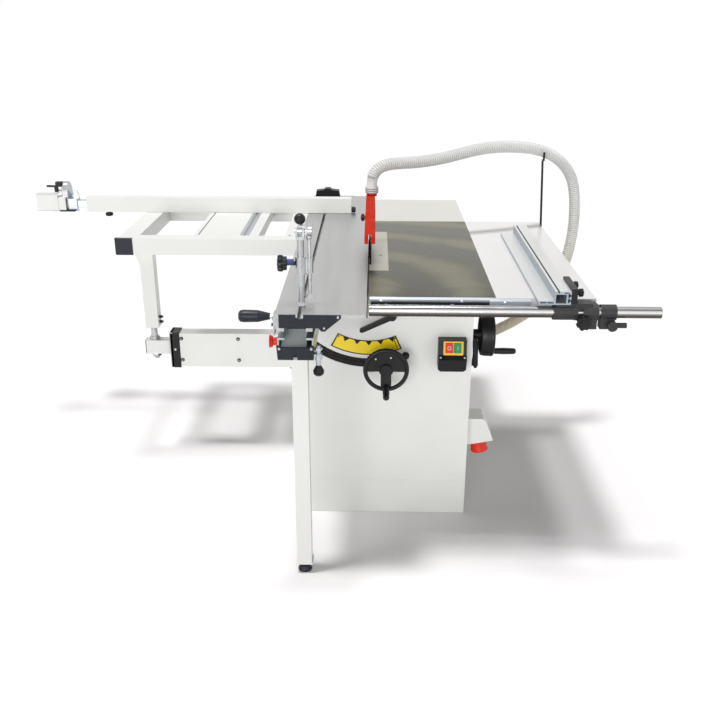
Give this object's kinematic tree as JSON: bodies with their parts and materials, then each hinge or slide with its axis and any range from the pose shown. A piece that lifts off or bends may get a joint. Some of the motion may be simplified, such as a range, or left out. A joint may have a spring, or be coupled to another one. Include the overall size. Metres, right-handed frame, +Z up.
{
  "type": "sliding table saw",
  "caption": "Cabinet table saw with a sliding crosscut table, outrigger frame on a swing arm, tilting and rising blade, hood with hose, and rip fence on a guide tube.",
  "frame": {"origin": "centre of the cabinet's base on the floor", "axes": "+X to the operator's right, along the crosscut fence; +Y away from the operator, along the cut; +Z up"},
  "size_m": [2.222, 1.663, 1.194],
  "materials": {
    "white_paint": "satin powder coat",
    "galvanised": "satin",
    "dark_plastic": "satin",
    "black_plastic": "satin",
    "cast_grey": "painted",
    "cast_table": "ground",
    "bright_steel": "zinc plated",
    "aluminium": "brushed",
    "chrome_tube": "polished",
    "inlet_plastic": "satin",
    "dark_paint": "satin",
    "black_paint": "satin",
    "black_metal": "satin",
    "hose_plastic": "translucent",
    "red_plastic": "satin",
    "rubber_black": "matte",
    "red_button": "gloss",
    "green_button": "gloss",
    "carriage_casting": "painted"
  },
  "bodies": {
    "base": {"cabinet": "white_paint", "front_leg": "white_paint", "slide_rail": "galvanised", "rail_caps": "dark_plastic", "fixed_brackets": "cast_grey", "main_table": "cast_table", "table_insert": "bright_steel", "extension_tables": "white_paint", "front_rail": "aluminium", "guide_tube": "chrome_tube", "switch_box": "black_plastic", "machine_inlet": "inlet_plastic", "dust_port": "dark_paint", "hose_rod": "black_paint", "suction_hose": "hose_plastic"},
    "ball_cage": {"ball_cage": "bright_steel"},
    "carriage": {"sliding_table": "aluminium", "carriage_caps": "dark_plastic", "carriage_fittings": "bright_steel", "outrigger_frame": "white_paint"},
    "edging_shoe": {"edging_shoe": "black_plastic"},
    "crosscut_fence": {"fence_tube": "white_paint"},
    "fence_end_knob": {"fence_end_knob": "black_plastic"},
    "fence_lock_knob": {"fence_lock_knob": "black_plastic"},
    "fence_extension": {"fence_extension": "aluminium"},
    "flip_stop": {"flip_stop": "white_paint"},
    "clamp_bracket": {"clamp_bracket": "bright_steel"},
    "clamp_knob": {"clamp_knob": "black_plastic"},
    "clamp_rod": {"clamp_rod": "bright_steel"},
    "clamp_lever": {"clamp_lever": "black_plastic"},
    "arm_outer": {"arm_outer": "white_paint"},
    "arm_inner": {"arm_inner": "white_paint"},
    "trunnion": {"trunnion_frame": "cast_grey", "riving_knife": "black_paint", "blade_hood": "red_plastic"},
    "hood_knob": {"hood_knob": "red_plastic"},
    "rise_arm": {"rise_arm": "cast_grey", "drive_belt": "rubber_black", "motor": "cast_grey"},
    "arbor": {"saw_arbor": "bright_steel", "saw_blade": "bright_steel"},
    "motor_rotor": {"motor_pulley": "bright_steel"},
    "rise_wheel": {"rise_handwheel": "black_metal"},
    "rise_grip": {"rise_grip": "black_plastic"},
    "height_lock": {"height_lock": "black_metal"},
    "tilt_wheel": {"tilt_handwheel": "black_metal"},
    "tilt_grip": {"tilt_grip": "black_plastic"},
    "tilt_lever": {"tilt_lever": "black_metal"},
    "brake_lever": {"brake_lever": "black_metal"},
    "stop_button": {"stop_button": "red_button"},
    "start_button": {"start_button": "green_button"},
    "fence_carriage": {"fence_carriage": "carriage_casting", "fence_bracket": "black_plastic"},
    "star_knob": {"star_knob": "black_plastic"},
    "micro_clamp": {"micro_clamp": "carriage_casting"},
    "rip_fence": {"rip_fence": "aluminium"},
    "bracket_knob_1": {"bracket_knob_1": "black_plastic"},
    "bracket_knob_2": {"bracket_knob_2": "black_plastic"},
    "index_plunger": {"index_plunger": "black_plastic"},
    "release_knob": {"release_knob": "red_plastic"}
  },
  "joints": [
    {"name": "carriage_slide", "type": "slide", "parent": "base", "child": "carriage", "axis": [0, 1, 0], "range_m": [-0.8, 0.8]},
    {"name": "cage_slide", "type": "slide", "parent": "base", "child": "ball_cage", "axis": [0, 1, 0], "range_m": [-0.4, 0.4]},
    {"name": "shoe_slide", "type": "slide", "parent": "carriage", "child": "edging_shoe", "axis": [0, 1, 0], "range_m": [-0.1, 0.02]},
    {"name": "fence_swivel", "type": "hinge", "parent": "carriage", "child": "crosscut_fence", "pos_m": [-0.25, 0.645, 0.861], "axis": [0, 0, 1], "range_deg": [-45, 45]},
    {"name": "fence_end_knob_turn", "type": "hinge", "parent": "crosscut_fence", "child": "fence_end_knob", "pos_m": [-0.14, 0.639, 0.8736], "axis": [1, 0, 0], "range_deg": [-180, 180]},
    {"name": "fence_lock_knob_turn", "type": "hinge", "parent": "crosscut_fence", "child": "fence_lock_knob", "pos_m": [-1.156, 0.639, 0.85], "axis": [0, 0, 1], "range_deg": [-180, 180]},
    {"name": "fence_extend", "type": "slide", "parent": "crosscut_fence", "child": "fence_extension", "axis": [-1, 0, 0], "range_m": [-0.03, 0.25]},
    {"name": "stop_flip", "type": "hinge", "parent": "fence_extension", "child": "flip_stop", "pos_m": [-1.35, 0.663, 0.925], "axis": [1, 0, 0], "range_deg": [-95, 0]},
    {"name": "clamp_height", "type": "slide", "parent": "carriage", "child": "clamp_bracket", "axis": [0, 0, 1], "range_m": [-0.055, 0.045]},
    {"name": "clamp_knob_turn", "type": "hinge", "parent": "clamp_bracket", "child": "clamp_knob", "pos_m": [-0.28, -0.574, 0.982], "axis": [1, 0, 0], "range_deg": [-180, 180]},
    {"name": "clamp_cam", "type": "hinge", "parent": "carriage", "child": "clamp_lever", "pos_m": [-0.25, -0.574, 1.076], "axis": [1, 0, 0], "range_deg": [-92.8, 1.2]},
    {"name": "clamp_press", "type": "slide", "parent": "carriage", "child": "clamp_rod", "axis": [0, 0, 1], "range_m": [-0.00283, 0], "stiffness_N_per_m": 50, "springref_m": 0.0278},
    {"name": "arm_swing", "type": "hinge", "parent": "base", "child": "arm_outer", "pos_m": [-0.345, 0.215, 0.416], "axis": [0, 0, 1], "range_deg": [-56, 56]},
    {"name": "arm_extend", "type": "slide", "parent": "arm_outer", "child": "arm_inner", "axis": [-1, 0, 0], "range_m": [0, 0.42]},
    {"name": "blade_tilt", "type": "hinge", "parent": "base", "child": "trunnion", "pos_m": [-0.058, 0, 0.86], "axis": [0, 1, 0], "range_deg": [0, 45], "deforming": ["suction_hose"]},
    {"name": "hood_knob_turn", "type": "hinge", "parent": "trunnion", "child": "hood_knob", "pos_m": [-0.08, 0.128, 0.956], "axis": [1, 0, 0], "range_deg": [-180, 180]},
    {"name": "blade_rise", "type": "hinge", "parent": "trunnion", "child": "rise_arm", "pos_m": [-0.058, 0.17, 0.75], "axis": [1, 0, 0], "range_deg": [0, 26]},
    {"name": "arbor_spin", "type": "hinge", "parent": "rise_arm", "child": "arbor", "pos_m": [-0.058, 0.01, 0.812], "axis": [1, 0, 0], "continuous": true},
    {"name": "motor_spin", "type": "hinge", "parent": "rise_arm", "child": "motor_rotor", "pos_m": [0.1, 0.14, 0.62], "axis": [1, 0, 0], "continuous": true},
    {"name": "rise_wheel_turn", "type": "hinge", "parent": "trunnion", "child": "rise_wheel", "pos_m": [-0.00148, -0.345, 0.57454], "axis": [0, 1, 0], "range_deg": [0, 530]},
    {"name": "rise_grip_turn", "type": "hinge", "parent": "rise_wheel", "child": "rise_grip", "pos_m": [-0.00148, -0.4, 0.51454], "axis": [0, 1, 0], "continuous": true},
    {"name": "height_lock_turn", "type": "hinge", "parent": "trunnion", "child": "height_lock", "pos_m": [-0.00148, -0.334, 0.57454], "axis": [0, 1, 0], "range_deg": [-30, 30]},
    {"name": "tilt_wheel_turn", "type": "hinge", "parent": "base", "child": "tilt_wheel", "pos_m": [0.324, -0.187, 0.63], "axis": [1, 0, 0], "range_deg": [0, 905]},
    {"name": "tilt_grip_turn", "type": "hinge", "parent": "tilt_wheel", "child": "tilt_grip", "pos_m": [0.373, -0.187, 0.57], "axis": [1, 0, 0], "continuous": true},
    {"name": "tilt_lock", "type": "hinge", "parent": "base", "child": "tilt_lever", "pos_m": [0.016, -0.315, 0.738], "axis": [0, 1, 0], "range_deg": [0, 50]},
    {"name": "tilt_brake", "type": "hinge", "parent": "base", "child": "brake_lever", "pos_m": [0.29, -0.219, 0.624], "axis": [1, 0, 0], "range_deg": [-30, 30]},
    {"name": "stop_press", "type": "slide", "parent": "base", "child": "stop_button", "axis": [0, 1, 0], "range_m": [0, 0.003], "stiffness_N_per_m": 300, "springref_m": -0.003},
    {"name": "start_press", "type": "slide", "parent": "base", "child": "start_button", "axis": [0, 1, 0], "range_m": [0, 0.003], "stiffness_N_per_m": 300, "springref_m": -0.003},
    {"name": "rip_fence_move", "type": "slide", "parent": "base", "child": "fence_carriage", "axis": [1, 0, 0], "range_m": [-0.27, 0.06]},
    {"name": "star_knob_turn", "type": "hinge", "parent": "fence_carriage", "child": "star_knob", "pos_m": [0.561, -0.572, 0.812], "axis": [0, 1, 0], "range_deg": [-180, 180]},
    {"name": "micro_adjust", "type": "slide", "parent": "fence_carriage", "child": "micro_clamp", "axis": [1, 0, 0], "range_m": [-0.004, 0.012]},
    {"name": "rip_fence_slide", "type": "slide", "parent": "fence_carriage", "child": "rip_fence", "axis": [0, 1, 0], "range_m": [-0.2, 0.2]},
    {"name": "bracket_knob_1_turn", "type": "hinge", "parent": "fence_carriage", "child": "bracket_knob_1", "pos_m": [0.55, -0.53, 0.888], "axis": [1, 0, 0], "range_deg": [-180, 180]},
    {"name": "bracket_knob_2_turn", "type": "hinge", "parent": "fence_carriage", "child": "bracket_knob_2", "pos_m": [0.55, -0.456, 0.888], "axis": [1, 0, 0], "range_deg": [-180, 180]},
    {"name": "plunger_pull", "type": "slide", "parent": "base", "child": "index_plunger", "axis": [0, 0, -1], "range_m": [0, 0.008], "stiffness_N_per_m": 300, "springref_m": -0.004},
    {"name": "release_pull", "type": "slide", "parent": "base", "child": "release_knob", "axis": [-1, 0, 0], "range_m": [0, 0.008], "stiffness_N_per_m": 300, "springref_m": -0.004}
  ],
  "couplings": [
    {"joint": "cage_slide", "follows": "carriage_slide", "ratio": 0.5},
    {"joint": "arm_swing", "follows": "carriage_slide", "rad_per_m": -1.2},
    {"joint": "clamp_cam", "follows": "clamp_press", "rad_per_m": 555.56},
    {"joint": "rise_wheel_turn", "follows": "blade_rise", "ratio": 20},
    {"joint": "tilt_wheel_turn", "follows": "blade_tilt", "ratio": 20},
    {"joint": "motor_spin", "follows": "arbor_spin", "ratio": 0.675}
  ]
}
